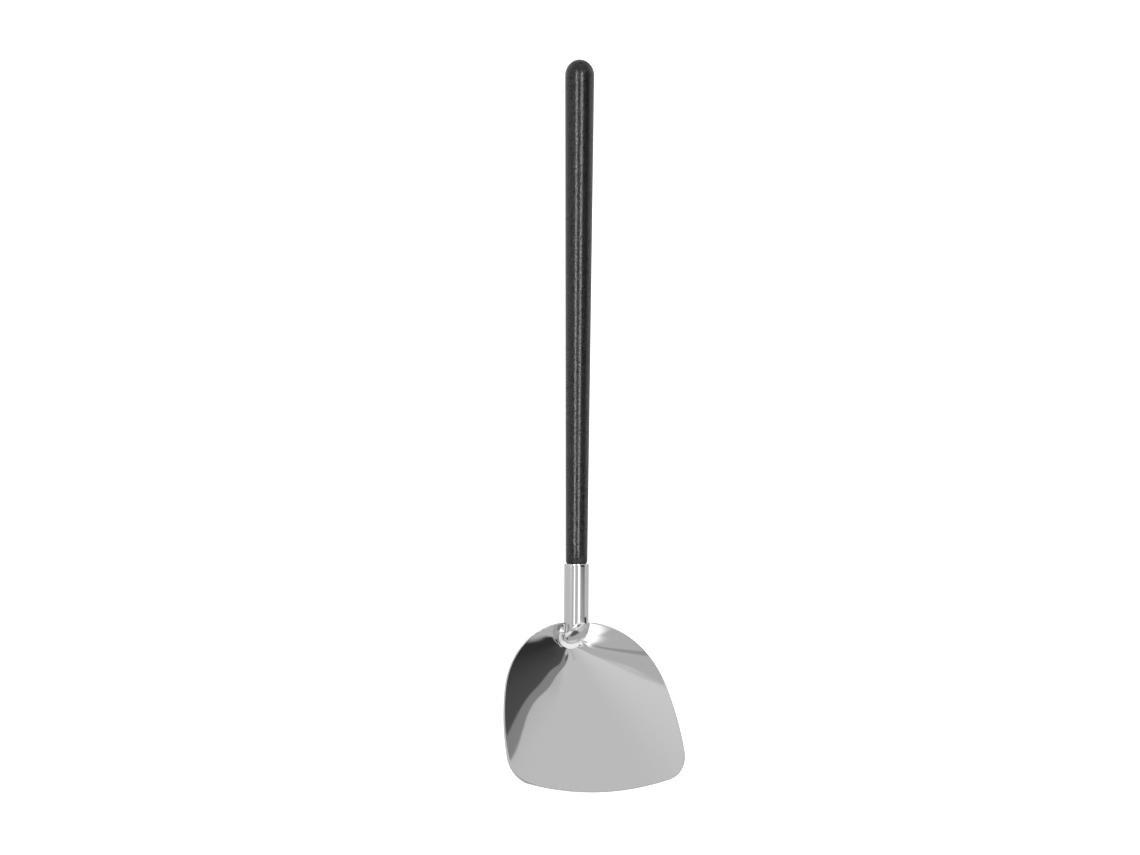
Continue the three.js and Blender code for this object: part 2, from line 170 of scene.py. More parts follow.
def steps_before(start, end, count):
    """Even steps from the start, without the end, where the next stretch starts."""
    return np.linspace(start, end, count, endpoint=False)


def column(first, last, steps):
    """Even steps from the first to the last, one below the other."""
    return np.linspace(first, last, steps + 1)[:, None]


def unit(vectors):
    """Vectors with the same directions and a length of one."""
    return vectors / np.linalg.norm(vectors, axis=-1, keepdims=True)


# The blade

def soft_lower(a, b, rounding):
    """The lower of two heights, less a parabola where they are closer than the rounding."""
    overlap = np.maximum(rounding - np.abs(a - b), 0)
    return np.minimum(a, b) - overlap**2 / (4 * rounding)


def soft_ramp(distance, half):
    """Nothing, then a bend with a smooth slope over half on each side of zero, then the distance itself."""
    t = np.clip((distance + half) / (2 * half), 0, 1)
    return np.where(distance >= half, distance, 2 * half * (t**3 - t**4 / 2))


# Low swells left in the sheet by the press, in millimetres. On the -X side, a rise at each crossing of the
# angles from straight ahead, in degrees, and the reaches, spread as a bell. A scratch script fitted these
# rises to the edges of the reflections in the photograph. On the +X side, angle, reach, the two spreads and
# the rise, fitted in the same way
LEFT_ANGLES = np.array([12.0, 28.0, 44.0, 60.0, 76.0])
LEFT_REACHES = np.array([7.0, 15.0, 26.0, 40.0, 56.0, 72.0])
LEFT_ANGLE_SPREAD = 17.0
LEFT_REACH_SPREADS = np.array([8.0, 10.0, 13.0, 16.0, 18.0, 18.0])
LEFT_RISES = np.array([
    [-0.163, -0.317, 0.007, 0.025, 0.06, -0.1],
    [0.316, -0.114, -0.119, 0.052, 0.255, -0.05],
    [0.118, -0.052, 0.266, 0.075, 0.071, 0.129],
    [0.372, -0.077, 0.211, -0.063, 0.123, 0.126],
    [0.039, 0.218, 0.239, 0.044, 0.271, 0.149],
])
LEFT_FADE_REACH = 5.0
LEFT_FADE_ANGLE = 18.0
RIGHT_SWELLS = (
    (66.9, 34.9, 7.0, 24.5, 0.121),
    (66.1, 50.0, 7.0, 20.8, 0.103),
)
RIGHT_FADE_REACH = 9.0

# A dip in the sheet beside the neck. It comes in with the angle and fades with the distance from the seat
DIP_DEPTH = 1.2
DIP_REACH = 5.0
DIP_START_ANGLE = 74.0
DIP_ANGLE_SPREAD = 42.0


def bell(value, middle, spread):
    """The exponential of minus the squared distance from the middle, counted in spreads."""
    return np.exp(-(((value - middle) / spread) ** 2))


def past_heel(away, reach):
    """Nothing at the heel and one well past the reach: one less the exponential of minus a fourth power."""
    return 1 - np.exp(-((away / reach) ** 4))


def swell_height(x, y):
    """Bells in polar angle and distance from the heel, less a dip beside the neck that comes in smoothly
    with the angle and fades exponentially with the distance from the seat."""
    away = np.sqrt(x * x + y * y)
    angle = np.degrees(np.arctan2(np.abs(x), -y))
    beside = np.clip((angle - DIP_START_ANGLE) / DIP_ANGLE_SPREAD, 0, 1)
    beside = beside * beside * (3 - 2 * beside)
    dip = DIP_DEPTH * beside * np.exp(-np.maximum(np.abs(x) - SEAT_RADIUS, 0) / DIP_REACH)
    by_angle = bell(angle[..., None], LEFT_ANGLES, LEFT_ANGLE_SPREAD)
    by_reach = bell(away[..., None], LEFT_REACHES, LEFT_REACH_SPREADS)
    left = np.einsum("...i,ij,...j->...", by_angle, LEFT_RISES, by_reach)
    left = left * past_heel(away, LEFT_FADE_REACH) * (1 - bell(angle, 0, LEFT_FADE_ANGLE))
    right = sum(
        rise * bell(angle, middle, angle_spread) * bell(away, reach, reach_spread)
        for middle, reach, angle_spread, reach_spread, rise in RIGHT_SWELLS
    )
    right = right * past_heel(away, RIGHT_FADE_REACH)
    return np.where(x < 0, left, np.where(x > 0, right, 0)) - dip


def blade_top(x, y):
    """Height of the upper face: a floor that climbs ahead of the heel, plus a cone about the heel whose climb
    grows with one minus the cosine of the angle past the flat fan, lowered to the neck's half-round seat."""
    floor = math.tan(BLADE_ANGLE) * soft_ramp(-y, BEND_HALF_LENGTH + BEND_SPREAD * np.abs(x))
    away = np.sqrt(x * x + y * y + HEEL_ROUNDING**2) - HEEL_ROUNDING
    fan = np.clip(FAN_RATE * (np.arctan2(np.abs(x), -y) - FLOOR_HALF_FAN), 0, math.pi)
    climb = RIM_SLOPE * away * (1 - np.cos(fan)) + swell_height(x, y)
    inside = np.minimum(np.abs(x), SEAT_RADIUS * math.sin(SEAT_WALL_ANGLE))
    seat = SEAT_RADIUS - np.sqrt(SEAT_RADIUS**2 - inside**2)
    seat = seat + (np.abs(x) - inside) * math.tan(SEAT_WALL_ANGLE) + SEAT_END_SLOPE * np.maximum(-y, 0)
    return SHEET + np.maximum(soft_lower(floor + climb, seat, SEAT_ROUNDING), 0)


def blade_normal(x, y, step=0.05):
    """Unit normal of the upper face, from central differences of its height."""
    slope_x = (blade_top(x + step, y) - blade_top(x - step, y)) / (2 * step)
    slope_y = (blade_top(x, y + step) - blade_top(x, y - step)) / (2 * step)
    return unit(np.stack([-slope_x, -slope_y, np.ones_like(x)], -1))


def below_top(plan, depth):
    """Points over the plan that lie this deep below the upper face, along its normal."""
    x, y = plan[..., 0], plan[..., 1]
    return np.stack([x, y, blade_top(x, y)], -1) - blade_normal(x, y) * depth


def blade_outline():
    """Plan points all round the blade: front, corner, side and shoulder arcs that touch each other, then the
    straight rear edge, and the same mirrored. The points crowd together where the shoulder meets the rear."""
    front_y = FRONT_RADIUS - FRONT_REACH
    corner_x = HALF_WIDTH - CORNER_RADIUS
    ahead = math.sqrt((FRONT_RADIUS - CORNER_RADIUS) ** 2 - corner_x**2)
    corner_y = front_y - ahead
    front_turn = math.atan2(corner_x, ahead)
    side_x = HALF_WIDTH - SIDE_RADIUS
    shoulder_y = REAR_REACH - SHOULDER_RADIUS
    away = SIDE_RADIUS - SHOULDER_RADIUS
    side_turn = math.pi / 2 + math.asin((shoulder_y - corner_y) / away)
    shoulder_x = side_x + away * math.sin(side_turn)
    crowded = 1 - (1 - steps_before(0, 1, SHOULDER_STEPS)) ** REAR_CROWDING
    arcs = [
        (0, front_y, FRONT_RADIUS, steps_before(0, front_turn, FRONT_STEPS)),
        (corner_x, corner_y, CORNER_RADIUS, steps_before(front_turn, math.pi / 2, CORNER_STEPS)),
        (side_x, corner_y, SIDE_RADIUS, steps_before(math.pi / 2, side_turn, SIDE_STEPS)),
        (shoulder_x, shoulder_y, SHOULDER_RADIUS, side_turn + (math.pi - side_turn) * crowded),
    ]
    half = [
        np.stack([x + radius * np.sin(turn), y - radius * np.cos(turn)], -1) for x, y, radius, turn in arcs
    ]
    rear_x = np.linspace(shoulder_x, 0, REAR_STEPS + 1)
    half.append(np.stack([rear_x, np.full_like(rear_x, REAR_REACH)], -1))
    half = np.vstack(half)
    return np.vstack([half, half[-2:0:-1] * [-1, 1]])


def make_blade(name):
    """The pressing: rings about the heel carry its two faces, a sheet apart along the normal, out to the
    outline, and a half round, a little fuller than half an ellipse, closes the edge."""
    outline = blade_outline()
    tangent = np.roll(outline, -1, 0) - np.roll(outline, 1, 0)
    outward = unit(np.stack([tangent[:, 1], -tangent[:, 0]], -1))
    inner = outline - outward * EDGE_WIDTH
    share = (np.arange(1, BLADE_RINGS + 1) / BLADE_RINGS) ** BLADE_RING_CROWDING
    plan = share[:, None, None] * inner
    normal = blade_normal(inner[:, 0], inner[:, 1])
    out = np.hstack([outward, np.zeros((len(outward), 1))])
    out = unit(out - normal * (out * normal).sum(1, keepdims=True))
    turn = np.linspace(-math.pi / 2, math.pi / 2, RIM_STEPS + 1)[1:-1, None, None]
    rim = (
        below_top(inner, SHEET / 2)
        + out * (EDGE_WIDTH * np.cos(turn) ** EDGE_FULLNESS)
        + normal * (SHEET / 2 * np.sin(turn))
    )
    grid = np.concatenate([below_top(plan, SHEET), rim, below_top(plan, 0)[::-1]])
    heel = np.zeros((1, 2))
    return piece_from_grid(name, grid, below_top(heel, SHEET), below_top(heel, 0))


# The neck

AROUND = np.linspace(0, 2 * math.pi, ROUND_STEPS, endpoint=False)


def turned(radius, reach):
    """Rings about the handle's axis. The radius and the reach are columns with one number for each ring, or
    grids with one for each point."""
    radius, reach, angle = np.broadcast_arrays(radius, reach, AROUND)
    return np.stack([radius * np.sin(angle), reach, AXIS_HEIGHT + radius * np.cos(angle)], -1)


def on_axis(reach):
    """The point of the handle's axis at this reach."""
    return np.array([0, reach, AXIS_HEIGHT])


def make_neck(name):
    """The tube, closed in front by its nose, round the rim of its mouth and back down the bore. The nose is
    half an ellipsoid sheared along the tube, so that its foot follows the sloping plane. The bore ends in a
    plane with the same slope, and the rounding at its edge shrinks from the top to the tip."""
    slant = np.cos(AROUND) / math.tan(NOSE_ANGLE)
    middle = NOSE_TIP_REACH + NECK_RADIUS / math.tan(NOSE_ANGLE)
    turn = column(0, math.pi / 2, NOSE_STEPS)[1:]
    away = NECK_RADIUS * np.sin(turn)
    nose = turned(away, middle + NOSE_SETBACK + away * slant - NOSE_DOME * np.cos(turn))
    lip_start = MOUTH_REACH - LIP_LENGTH
    tube = turned(NECK_RADIUS, column(TUBE_START_REACH, lip_start, TUBE_STEPS))
    turn = column(0, math.pi, LIP_STEPS)[1:-1]
    half_wall = (NECK_RADIUS - BORE_RADIUS) / 2
    lip_reach = MOUTH_REACH - LIP_ROUNDING * (1 - np.sin(turn) ** LIP_FULLNESS)
    lip = turned(BORE_RADIUS + half_wall * (1 + np.cos(turn)), lip_reach)
    bore = turned(BORE_RADIUS, column(lip_start, BORE_END_REACH, BORE_STEPS))
    end_middle = middle + NOSE_WALL / math.sin(NOSE_ANGLE)
    top_share = (1 + np.cos(AROUND)) / 2
    rounding = BORE_END_ROUNDING * (BORE_END_TIP_SHARE + (1 - BORE_END_TIP_SHARE) * top_share)
    turn = column(math.pi / 2, 0, BORE_END_STEPS)
    away = BORE_RADIUS - rounding * (1 - np.sin(turn))
    bore_end = turned(away, end_middle + rounding * (1 - np.cos(turn)) + away * slant)
    grid = np.concatenate([nose, tube, lip, bore, bore_end])
    return piece_from_grid(name, grid, on_axis(middle + NOSE_SETBACK - NOSE_DOME), on_axis(end_middle))


# The weld fillet

def make_weld(name):
    """A U round the nose. Its inner edge lies inside the tube, a little behind the nose's sloping plane.
    Its outer edge is half an ellipse round the nose, then straight beside the neck. Each section is a
    straight ramp with a low slope from the toe on the blade up to the tube: the root of the squared way to
    the toe plus a small square rounds the toe, and the toe's own edge sinks a little. The foot lies just
    inside the sheet."""
    signed = np.linspace(-1, 1, 2 * WELD_HALF_STEPS + 1)
    share = np.abs(signed)
    side = np.where(signed < 0, -1.0, 1.0)[:, None]
    end = REAR_REACH - WELD_END_GAP
    nose_length = end - WELD_INNER_SETBACK - NOSE_TIP_REACH
    nose_y = NOSE_TIP_REACH + nose_length * share**WELD_INNER_CROWDING
    nose_height = AXIS_HEIGHT - NECK_RADIUS + math.tan(NOSE_ANGLE) * (nose_y - NOSE_TIP_REACH)
    drop = np.clip(AXIS_HEIGHT - nose_height, 0, NECK_RADIUS)
    inner_x = WELD_INNER_SHARE * np.sqrt(NECK_RADIUS**2 - drop**2)
    inner_y = nose_y + WELD_INNER_SETBACK
    angle = math.pi / 2 * np.minimum(share / WELD_ARC_SHARE, 1)
    straight = np.clip((share - WELD_ARC_SHARE) / (1 - WELD_ARC_SHARE), 0, 1)
    outer_x = (NECK_RADIUS + WELD_WIDTH) * np.sin(angle)
    outer_y = WELD_ARC_REACH - (WELD_ARC_REACH + WELD_WIDTH) * np.cos(angle)
    outer_y = outer_y + (end - WELD_ARC_REACH) * straight
    lane = np.linspace(0, 1, WELD_LANES + 1)
    x = inner_x[:, None] + (outer_x - inner_x)[:, None] * lane
    y = inner_y[:, None] + (outer_y - inner_y)[:, None] * lane
    ground = blade_top(x, y)
    slope = WELD_FRONT_SLOPE + (WELD_SIDE_SLOPE - WELD_FRONT_SLOPE) * np.sin(angle)
    climb = slope * np.hypot(outer_x - inner_x, outer_y - inner_y)
    to_toe = np.sqrt((1 - lane) ** 2 + WELD_TOE_SHARE**2) - WELD_TOE_SHARE
    height = ground[:, -1:] + climb[:, None] * to_toe / to_toe[0] - WELD_TOE_SINK * lane**WELD_TOE_SHARPNESS
    face = np.stack([side * x, y, height], -1)
    foot = np.stack([side * x, y, ground - WELD_FOOT_DEPTH], -1)[:, ::-1]
    grid = np.concatenate([face, foot], 1)
    return piece_from_grid(name, grid, grid[0].mean(0), grid[-1].mean(0))


# The grip

def make_grip(name):
    """A lathe shape: the tenon with its chamfered tip and a small flare at its root, the shoulder with a
    small rounding, a straight taper and an elliptic dome."""
    tenon = [
        (TENON_RADIUS - TENON_CHAMFER, TENON_REACH),
        (TENON_RADIUS, TENON_REACH + TENON_CHAMFER),
        (TENON_RADIUS, SHOULDER_REACH - TENON_ROOT_LENGTH),
        (TENON_RADIUS + TENON_ROOT_FLARE, SHOULDER_REACH),
    ]
    turn = column(0, math.pi / 2, GRIP_SHOULDER_STEPS)
    shoulder = np.hstack([
        GRIP_SHOULDER_RADIUS - SHOULDER_ROUNDING * (1 - np.sin(turn)),
        SHOULDER_REACH + SHOULDER_ROUNDING * (1 - np.cos(turn)),
    ])
    taper_start = SHOULDER_REACH + SHOULDER_ROUNDING
    dome_start = HANDLE_END_REACH - GRIP_DOME_LENGTH
    share = column(0, 1, TAPER_STEPS)[1:-1]
    taper = np.hstack([
        GRIP_SHOULDER_RADIUS + (GRIP_END_RADIUS - GRIP_SHOULDER_RADIUS) * share,
        taper_start + (dome_start - taper_start) * share,
    ])
    turn = column(0, math.pi / 2, DOME_STEPS)[:-1]
    dome = np.hstack([GRIP_END_RADIUS * np.cos(turn), dome_start + GRIP_DOME_LENGTH * np.sin(turn)])
    profile = np.vstack([tenon, shoulder, taper, dome])
    grid = turned(profile[:, :1], profile[:, 1:])
    return piece_from_grid(name, grid, on_axis(TENON_REACH), on_axis(HANDLE_END_REACH))


# Materials

WHITE = (1, 1, 1, 1)
WAVE_DEPTH = 0.6 * MM
LINE_DEPTH = 0.02 * MM
GRAIN_DEPTH = 0.06 * MM
GRAIN_RANGE = (0.35, 0.65)
GRAIN_GLOSS = (0.2, 0.8)
GRIP_ROUGHNESS = (0.19, 0.26)
GRIP_COLOUR = (0.003, 0.003, 0.0031, 1)


def add(tree, kind, **values):
    """A new node, with these values on its sockets or settings of the same names."""
    node = tree.nodes.new(kind)
    for key, value in values.items():
        if key in node.inputs:
            node.inputs[key].default_value = value
        else:
            setattr(node, key, value)
    return node


def remap(tree, value, low, high, first, last, kind="LINEAR"):
    """A value carried from the range low to high over to first to last, and held at both ends."""
    node = add(tree, "ShaderNodeMapRange", interpolation_type=kind)
    tree.links.new(value, node.inputs["Value"])
    for socket, number in (("From Min", low), ("From Max", high), ("To Min", first), ("To Max", last)):
        node.inputs[socket].default_value = number
    return node.outputs[0]


def noise(tree, where, **values):
    """A soft random pattern from 0 to 1 over a place or a stretched place."""
    node = add(tree, "ShaderNodeTexNoise", **values)
    tree.links.new(where, node.inputs["Vector"])
    return node.outputs["Fac"]


def bump(tree, height, strength, depth, under=None):
    """The normal tipped by the slopes of a height, on top of another bump where one is given."""
    node = add(tree, "ShaderNodeBump", Strength=strength, Distance=depth)
    tree.links.new(height, node.inputs["Height"])
    if under is not None:
        tree.links.new(under, node.inputs["Normal"])
    return node.outputs["Normal"]


def new_material(name, values):
    """A material with these values on the sockets of its shader, its node tree, and the shader."""
    material = bpy.data.materials.new(name)
    material.use_nodes = True
    shader = material.node_tree.nodes["Principled BSDF"]
    for socket, value in values.items():
        shader.inputs[socket].default_value = value
    return material, material.node_tree, shader


def steel(name, colour, roughness, drift, line_scale, line_bump, wave_bump):
    """Polished stainless steel: a broad, very shallow unevenness of the sheet, fine polishing lines, and a
    roughness that drifts a little with the lines."""
    material, tree, shader = new_material(name, {"Metallic": 1.0, "Base Color": (*colour, 1)})
    where = add(tree, "ShaderNodeTexCoord").outputs["Object"]
    stretch = add(tree, "ShaderNodeMapping", Scale=line_scale)
    tree.links.new(where, stretch.inputs["Vector"])
    lines = noise(tree, stretch.outputs["Vector"], Scale=1.0, Detail=4.0, Roughness=0.6)
    broad = noise(tree, where, Scale=38.0, Detail=1.5, Roughness=0.4)
    rough = remap(tree, lines, 0, 1, roughness - drift, roughness + drift)
    wave = bump(tree, broad, wave_bump, WAVE_DEPTH)
    fine = bump(tree, lines, line_bump, LINE_DEPTH, wave)
    tree.links.new(rough, shader.inputs["Roughness"])
    tree.links.new(fine, shader.inputs["Normal"])
    return material


def grip_plastic(name):
    """Black moulded plastic with the fine grain of an eroded mould: small pits, a roughness that varies in
    blotches, and highlights that are stronger on some grains than on others."""
    material, tree, shader = new_material(name, {"Base Color": GRIP_COLOUR})
    where = add(tree, "ShaderNodeTexCoord").outputs["Object"]
    grain = noise(tree, where, Scale=1300.0, Detail=1.0, Roughness=0.5)
    blotch = noise(tree, where, Scale=420.0, Detail=2.0, Roughness=0.5)
    tree.links.new(remap(tree, blotch, 0, 1, *GRIP_ROUGHNESS), shader.inputs["Roughness"])
    tree.links.new(remap(tree, grain, *GRAIN_RANGE, *GRAIN_GLOSS), shader.inputs["Specular IOR Level"])
    tree.links.new(bump(tree, grain, strength=1.0, depth=GRAIN_DEPTH), shader.inputs["Normal"])
    return material


blade_steel = steel(
    "polished_sheet", colour=(0.635, 0.635, 0.635), roughness=0.045, drift=0.012,
    line_scale=(260, 60, 260), line_bump=0.03, wave_bump=0.004,
)
tube_steel = steel(
    "polished_tube", colour=(0.66, 0.66, 0.66), roughness=0.08, drift=0.02,
    line_scale=(420, 40, 420), line_bump=0.05, wave_bump=0.006,
)
weld_steel = steel(
    "buffed_weld", colour=(0.64, 0.64, 0.64), roughness=0.07, drift=0.02,
    line_scale=(300, 300, 300), line_bump=0.05, wave_bump=0.01,
)
rod_steel = steel(
    "drawn_rod", colour=(0.42, 0.425, 0.43), roughness=0.34, drift=0.06,
    line_scale=(600, 30, 600), line_bump=0.5, wave_bump=0.05,
)
grip_black = grip_plastic("grained_grip")

for maker, name, node, slot, material in (
    (make_blade, "blade_pressing", "blade", "blade_steel", blade_steel),
    (make_neck, "neck_tube", "neck_socket", "neck_steel", tube_steel),
    (make_weld, "weld_fillet", "neck_weld", "weld_steel", weld_steel),
    (make_grip, "grip_moulding", "handle_grip", "grip_plastic", grip_black),
):
    piece = maker(name)
    piece.data.materials.append(material)
    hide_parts(node)
    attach(piece, "root")

for node in ("handle_core", "fixing_pin"):
    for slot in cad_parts[node].material_slots:
        slot.material = rod_steel


# Camera, square to the handle's axis and rolled about it to the side that the turner is seen from. The
# pixels are the photograph's, counted from its top left corner, and their size is the one at the height of
# the axis. The sensor's width is in millimetres

ROLL = math.radians(30)
HANDLE_LEAN = math.atan(0.0064)
DISTANCE = 3.0
PHOTO_WIDTH = 1140
PHOTO_HEIGHT = 855
PIXEL = 0.548 * MM
HEEL_COLUMN = 576.1
HEEL_ROW = 645.0
SENSOR_WIDTH = 36
CLIP_END = 20


def place(obj, x, y, z, where):
    """Sets an object's three directions and its place."""
    matrix = Matrix((x, y, z)).transposed().to_4x4()
    matrix.translation = where
    obj.matrix_world = matrix


def make_camera():
    """A camera that looks at the photograph's middle, found from where the photograph shows the heel."""
    toward = Vector((-math.sin(ROLL), 0, math.cos(ROLL)))
    level = Vector((math.cos(ROLL), 0, math.sin(ROLL)))
    ahead = toward.cross(level)
    right = level * math.cos(HANDLE_LEAN) + ahead * math.sin(HANDLE_LEAN)
    up = ahead * math.cos(HANDLE_LEAN) - level * math.sin(HANDLE_LEAN)
    heel = Vector((0, -MIDDLE_REACH * MM, AXIS_HEIGHT * MM))
    middle = heel + up * (HEEL_ROW - PHOTO_HEIGHT / 2) * PIXEL
    middle = middle + right * (PHOTO_WIDTH / 2 - HEEL_COLUMN) * PIXEL
    data = bpy.data.cameras.new("camera")
    data.sensor_width = SENSOR_WIDTH
    data.lens = SENSOR_WIDTH * DISTANCE / (PHOTO_WIDTH * PIXEL)
    data.clip_end = CLIP_END
    camera = bpy.data.objects.new("camera", data)
    place(camera, right, up, toward, middle + toward * DISTANCE)
    bpy.context.scene.collection.objects.link(camera)
    return camera


bpy.context.scene.camera = make_camera()


# Table, cards and lamps

TO_THE_LEFT = (-1, 0, 0)
UPWARDS = (0, 0, 1)
TABLE_SIDE = 6
TABLE_DROP = 0.1 * MM
MIRROR_TABLE_DROP = 0.5 * MM
BACKDROP_BRIGHTNESS = 1.1
LAMP_AREA_FACTOR = 4
FILL_ANGLE = math.radians(120)
FILL_STRENGTH = 0.8


def flat_card(name, centre, facing, width, length, material):
    """A rectangle for the studio that faces square to the handle's line, with its length along that line."""
    along = Vector((0, 1, 0))
    across = along.cross(Vector(facing))
    corners = [
        Vector(centre) + across * (a * width / 2) + along * (b * length / 2)
        for a, b in ((-1, -1), (1, -1), (1, 1), (-1, 1))
    ]
    mesh = bpy.data.meshes.new(name)
    mesh.from_pydata([tuple(corner) for corner in corners], [], [(0, 1, 2, 3)])
    mesh.materials.append(material)
    obj = bpy.data.objects.new(name, mesh)
    bpy.context.scene.collection.objects.link(obj)
    return obj


def glow(name, brightness):
    """A material that gives off the same white light in each direction."""
    material = bpy.data.materials.new(name)
    material.use_nodes = True
    tree = material.node_tree
    tree.nodes.clear()
    light = add(tree, "ShaderNodeEmission", Color=WHITE, Strength=brightness)
    out = add(tree, "ShaderNodeOutputMaterial")
    tree.links.new(light.outputs[0], out.inputs["Surface"])
    return material


def reflected_card(name, centre, facing, width, length, brightness):
    """A glowing card that only reflections see."""
    card = flat_card(name, centre, facing, width, length, glow(name, brightness))
    for ray in ("camera", "diffuse", "shadow", "transmission", "volume_scatter"):
        setattr(card, "visible_" + ray, False)


def strip_lamp(name, centre, width, length, brightness):
    """A strip light along the handle's line, turned to the handle's axis and seen only in reflections. The
    brightness is what one square metre of it gives off in each direction, and the lamp's power is four
    times its area times that."""
    data = bpy.data.lights.new(name, "AREA")
    data.shape = "RECTANGLE"
    data.size = width
    data.size_y = length
    data.energy = LAMP_AREA_FACTOR * width * length * brightness
    lamp = bpy.data.objects.new(name, data)
    along = Vector((0, 1, 0))
    back = (Vector(centre) - Vector((0, centre[1], AXIS_HEIGHT * MM))).normalized()
    place(lamp, along.cross(back), along, back, centre)
    for ray in ("camera", "diffuse", "transmission", "volume_scatter"):
        setattr(lamp, "visible_" + ray, False)
    bpy.context.scene.collection.objects.link(lamp)


def make_table():
    """A pale table that the camera sees. Reflections see the mirror table in its place."""
    material, _, _ = new_material("pale_table", {
        "Base Color": (0.8, 0.8, 0.8, 1),
        "Roughness": 0.9,
        "Emission Color": WHITE,
        "Emission Strength": 0.8,
    })
    table = flat_card("table", (0, 0, -TABLE_DROP), UPWARDS, TABLE_SIDE, TABLE_SIDE, material)
    table.visible_glossy = False


# Sky

# Brightness of its parts. Two levels are those at the two ends of a ramp
CEILING_LIGHT = (0.64, 0.38)
BAR_LEFT_LIGHT = 0.44
BAR_LIGHT = (0.7, 0.46)
DARK_BAR_LIGHT = 0.05
LEFT_WALL_LIGHT = (0.74, 1.1)
NEAR_PANEL_LIGHT = (0.86, 1.3)
FAR_PANEL_LIGHT = 1.05
DARK_ROOM_LIGHT = (0.042, 0.105)
PALE_ROOM_LIGHT = 0.66
GREY_BAND_LIGHT = 0.33
TENT_LIGHT = (0.9, 0.77)
TENT_RIGHT_LIGHT = 0.67
SIDE_STRIP_LIGHT = 1.6
NOSE_PATCH_LIGHT = 0.2


class Sky:
    """Brightness by direction. Around is the angle about the handle's line, from straight up towards +X,
    and along is the angle towards the handle's round end, both in degrees."""

    def __init__(self, tree):
        self.tree = tree
        split = add(tree, "ShaderNodeSeparateXYZ")
        tree.links.new(add(tree, "ShaderNodeTexCoord").outputs["Generated"], split.inputs[0])
        x, y, z = split.outputs
        self.around = self.combine("MULTIPLY", self.combine("ARCTAN2", x, z), math.degrees(1))
        self.along = self.combine("MULTIPLY", self.combine("ARCSINE", y), math.degrees(1))

    def combine(self, operation, *values):
        """The result of one sum on sockets and plain numbers."""
        node = add(self.tree, "ShaderNodeMath", operation=operation)
        for socket, value in zip(node.inputs, values):
            if isinstance(value, (int, float)):
                socket.default_value = value
            else:
                self.tree.links.new(value, socket)
        return node.outputs[0]

    def product(self, first, second):
        return self.combine("MULTIPLY", first, second)

    def total(self, first, second):
        return self.combine("ADD", first, second)

    def ramp(self, value, between, levels=(0.0, 1.0)):
        """The first level below the two limits, the last above them, and a smooth step between."""
        return remap(self.tree, value, *between, *levels, "SMOOTHSTEP")

    def slope(self, value, between, levels):
        """The first level below the two limits, the last above them, and a straight slope between."""
        return remap(self.tree, value, *between, *levels)

    def above(self, value, limit, soft):
        """One where the value is over the limit, with a soft edge."""
        share = self.combine("DIVIDE", self.combine("SUBTRACT", value, limit), soft)
        return self.ramp(share, between=(-1, 1))

    def mix(self, share, first, last):
        """First where the share is 0, last where it is 1."""
        rest = self.combine("SUBTRACT", 1.0, share)
        return self.total(self.product(share, last), self.product(rest, first))

    def window(self, value, between, soft):
        """One between the two limits, with soft edges."""
        low, high = between
        rise = self.ramp(value, between=(low - soft, low + soft))
        fall = self.ramp(value, between=(high - soft, high + soft), levels=(1.0, 0.0))
        return self.product(rise, fall)

    def patch(self, along, along_soft, around, around_soft):
        """One inside a rectangle of directions, with soft edges."""
        return self.product(
            self.window(self.along, along, along_soft), self.window(self.around, around, around_soft)
        )


def dark_room(sky):
    """What stands low on the right: dark, a little lighter towards the handle's end, with a light floor
    under it and a light wall ahead of it."""
    room = sky.slope(sky.along, between=(-2, 22), levels=DARK_ROOM_LIGHT)
    start = sky.ramp(sky.around, between=(67, 73), levels=(-12, -21))
    room = sky.mix(sky.above(sky.along, start, soft=2.5), PALE_ROOM_LIGHT, room)
    return sky.mix(sky.ramp(sky.around, between=(75, 80)), room, PALE_ROOM_LIGHT)


def ceiling(sky):
    """What stands above and on the left: darker to the right, with a bar of light and a dark bar beyond it
    across the handle's line, a wall low on the left, and two bright panels ahead on the right."""
    light = sky.ramp(sky.around, between=(6, 36), levels=CEILING_LIGHT)
    bar = sky.patch(along=(-4.2, 1.0), along_soft=1.0, around=(-8, 50), around_soft=1.0)
    bar_light = sky.ramp(sky.around, between=(10, 38), levels=BAR_LIGHT)
    bar_light = sky.mix(sky.ramp(sky.around, between=(0, 8)), BAR_LEFT_LIGHT, bar_light)
    light = sky.mix(bar, light, bar_light)
    dark_bar = sky.patch(along=(-1.4, 7), along_soft=0.2, around=(2, 50), around_soft=2.0)
    light = sky.mix(dark_bar, light, DARK_BAR_LIGHT)
    left_wall = sky.ramp(sky.along, between=(-1.5, -1.3), levels=LEFT_WALL_LIGHT)
    light = sky.mix(sky.ramp(sky.around, between=(-80, -70)), left_wall, light)
    near_panel = sky.patch(along=(-40, -5), along_soft=1.5, around=(2, 56), around_soft=2.0)
    light = sky.mix(near_panel, light, sky.ramp(sky.along, between=(-27, -22), levels=NEAR_PANEL_LIGHT))
    far_panel = sky.patch(along=(-68, -38), along_soft=1.5, around=(8, 56), around_soft=2.0)
    return sky.mix(far_panel, light, FAR_PANEL_LIGHT)


def side_strip(sky):
    """One on a long bright strip that runs from far ahead of the blade past the neck, between a left and a
    right limit that both wander along the way. The levels here are angles around."""
    left = sky.ramp(sky.along, between=(-8, -3), levels=(-34, -16))
    left = sky.total(left, sky.ramp(sky.along, between=(3, 6), levels=(0, -12)))
    right = sky.slope(sky.along, between=(-50, -34), levels=(12, 0))
    right = sky.total(right, sky.slope(sky.along, between=(-34, -9), levels=(-7, -10.5)))
    right = sky.total(right, sky.slope(sky.along, between=(-2, 7), levels=(0, 4)))
    length = sky.window(sky.along, between=(-58, 9), soft=1.5)
    strip = sky.product(length, sky.above(sky.around, left, soft=3.0))
    return sky.product(strip, sky.above(right, sky.around, soft=2.4))


